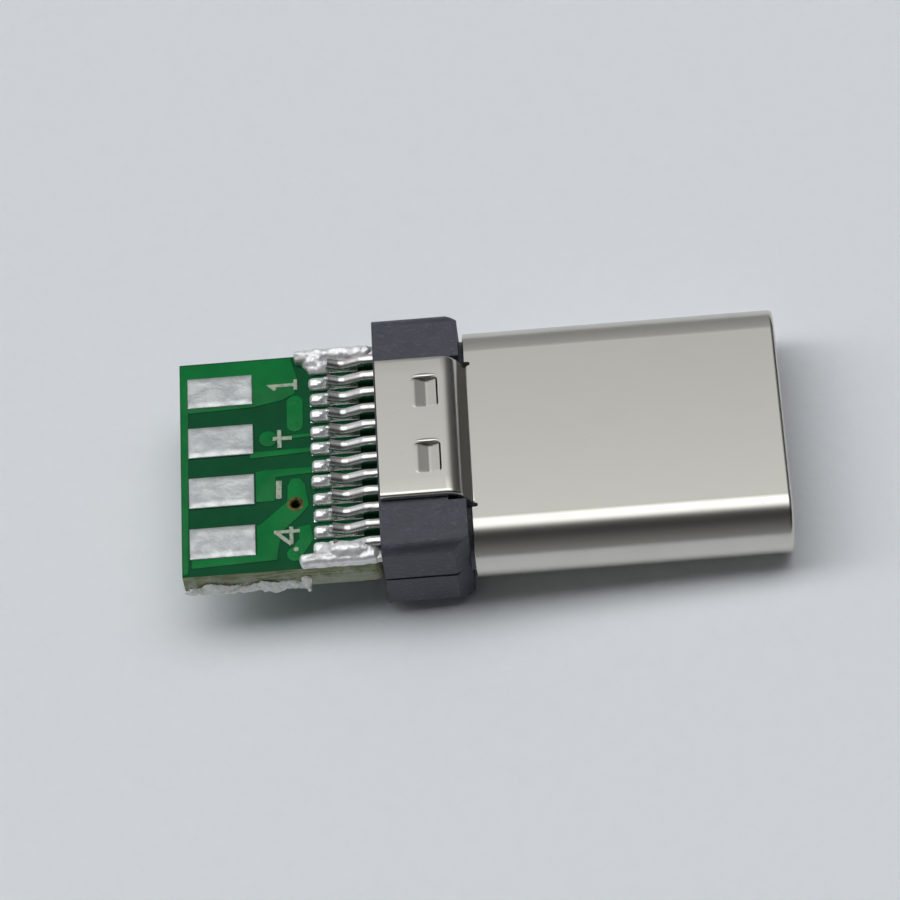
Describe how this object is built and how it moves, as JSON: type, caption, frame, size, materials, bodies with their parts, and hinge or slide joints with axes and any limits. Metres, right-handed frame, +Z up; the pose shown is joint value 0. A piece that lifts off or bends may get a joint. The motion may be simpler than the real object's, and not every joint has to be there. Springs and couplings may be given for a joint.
{
  "type": "usb-c connector",
  "caption": "Reversible plug with an oblong metal tube, a moulded housing with two pressed tabs, and a small soldered board with wire pads and polarity marks.",
  "frame": {"origin": "middle of the plug's mouth, on the plane of its lip", "axes": "+X out of the mouth along the plug, +Z up out of the board face that carries the wire pads, Y across the plug"},
  "size_m": [0.0183, 0.0082, 0.0038],
  "materials": {
    "shell_nickel": "satin nickel plate",
    "housing_plastic": "fine matte moulding, dark blue-grey",
    "insulator_plastic": "matte moulding, black",
    "latch_steel": "bright rolled strip",
    "spring_steel": "bright rolled strip",
    "board_mask": "green solder mask over glass laminate",
    "tinned_pad": "dull tin",
    "bare_copper": "dull copper",
    "solder": "bright solder",
    "contact_tin": "bright tinned strip"
  },
  "bodies": {
    "root": {"shell": "shell_nickel", "carrier_upper": "housing_plastic", "carrier_lower": "housing_plastic", "front_insulator": "insulator_plastic", "latch_plate": "latch_steel", "spring_upper": "spring_steel", "spring_lower": "spring_steel", "board": "board_mask", "wire_pads": "tinned_pad", "pin_pads_upper": "tinned_pad", "pin_pads_lower": "tinned_pad", "plated_hole": "bare_copper", "solder_upper": "solder", "solder_lower": "solder", "leg_solder_far": "solder", "leg_solder_near": "solder", "contact_a1": "contact_tin", "contact_a2": "contact_tin", "contact_a3": "contact_tin", "contact_a4": "contact_tin", "contact_a5": "contact_tin", "contact_a6": "contact_tin", "contact_a7": "contact_tin", "contact_a8": "contact_tin", "contact_a9": "contact_tin", "contact_a10": "contact_tin", "contact_a11": "contact_tin", "contact_a12": "contact_tin", "contact_b1": "contact_tin", "contact_b2": "contact_tin", "contact_b3": "contact_tin", "contact_b4": "contact_tin", "contact_b5": "contact_tin", "contact_b8": "contact_tin", "contact_b9": "contact_tin", "contact_b10": "contact_tin", "contact_b11": "contact_tin", "contact_b12": "contact_tin"}
  },
  "joints": []
}
